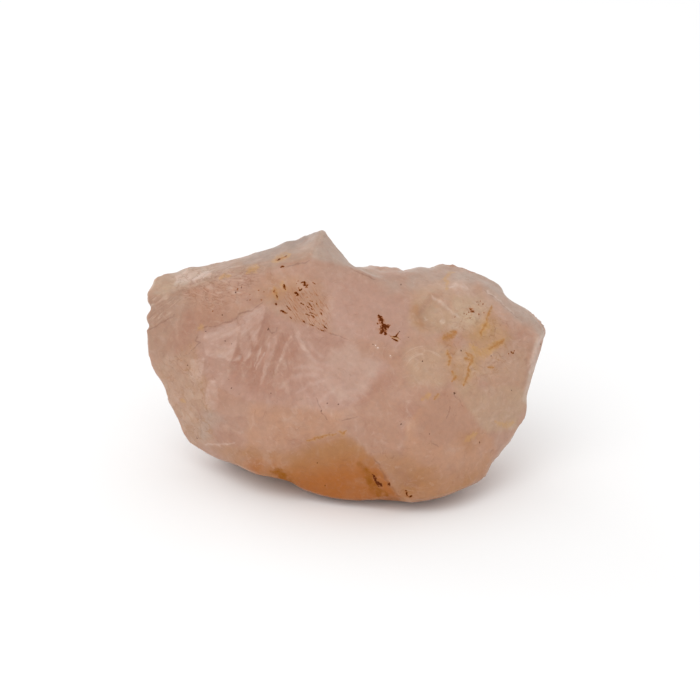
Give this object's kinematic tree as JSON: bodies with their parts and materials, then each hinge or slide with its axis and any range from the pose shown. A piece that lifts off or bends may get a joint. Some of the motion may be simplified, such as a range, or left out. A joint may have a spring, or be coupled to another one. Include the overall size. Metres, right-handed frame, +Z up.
{
  "type": "rose quartz chunk",
  "caption": "Rough natural chunk of cloudy rose quartz with a peaked top, a broad conchoidal front fracture, iron stains and a flat face to rest on.",
  "frame": {"origin": "on the plane that the stone rests on, under the middle of its box", "axes": "+X along the length, -Y towards the broad front fracture, +Z up"},
  "size_m": [0.06, 0.0324, 0.0372],
  "materials": {
    "rose_quartz": "broken, waxy, cloudy, with iron stains"
  },
  "bodies": {
    "root": {"quartz_chunk": "rose_quartz"}
  },
  "joints": []
}
